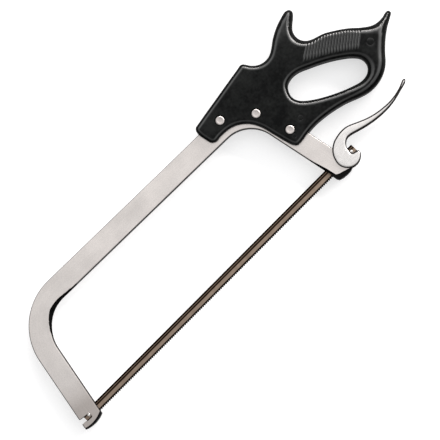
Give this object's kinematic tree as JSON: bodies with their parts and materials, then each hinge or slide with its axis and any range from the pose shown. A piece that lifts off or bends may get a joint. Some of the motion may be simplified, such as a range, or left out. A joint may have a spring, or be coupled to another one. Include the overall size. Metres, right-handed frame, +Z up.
{
  "type": "bone saw",
  "caption": "Butcher's bow saw: bent stainless tube frame, riveted black moulded handle, pinned toothed blade and an eccentric lever that tensions it.",
  "frame": {"origin": "middle of the bounding box at floor level, with the saw lying on its side", "axes": "+X along the blade from the front hook to the handle, +Y from the teeth to the spine of the bow, +Z up out of the side of the saw"},
  "size_m": [0.5604, 0.1758, 0.026],
  "materials": {
    "tube": "satin stainless steel, lightly brushed along the bow",
    "lever": "bright satin stainless casting with polished rims",
    "rivet": "satin rivet heads",
    "blade": "tempered spring steel, bronze brown with dark bands along the back and the teeth",
    "pin": "bright steel",
    "grip": "black moulded plastic, fine grain, soft sheen",
    "plug": "black moulded plastic"
  },
  "bodies": {
    "frame": {"frame_tube": "tube", "front_end_plug": "plug", "rear_end_plug": "plug", "handle_upper_half": "grip", "handle_lower_half": "grip", "rivet_front_sleeve": "rivet", "rivet_front_shank": "rivet", "rivet_middle_sleeve": "rivet", "rivet_middle_shank": "rivet", "rivet_rear_sleeve": "rivet", "rivet_rear_shank": "rivet"},
    "lever": {"tension_lever": "lever"},
    "blade": {"blade": "blade", "front_blade_pin": "pin", "rear_blade_pin": "pin"}
  },
  "joints": [
    {"name": "lever_hinge", "type": "hinge", "parent": "frame", "child": "lever", "pos_m": [0.13488, -0.0733, 0.013], "axis": [0, 0, 1], "range_deg": [-90, 0]},
    {"name": "blade_swing", "type": "hinge", "parent": "lever", "child": "blade", "pos_m": [0.14028, -0.0729, 0.013], "axis": [0, 0, 1], "range_deg": [0, 90]}
  ],
  "couplings": [
    {"joint": "blade_swing", "follows": "lever_hinge", "ratio": -0.99092}
  ]
}
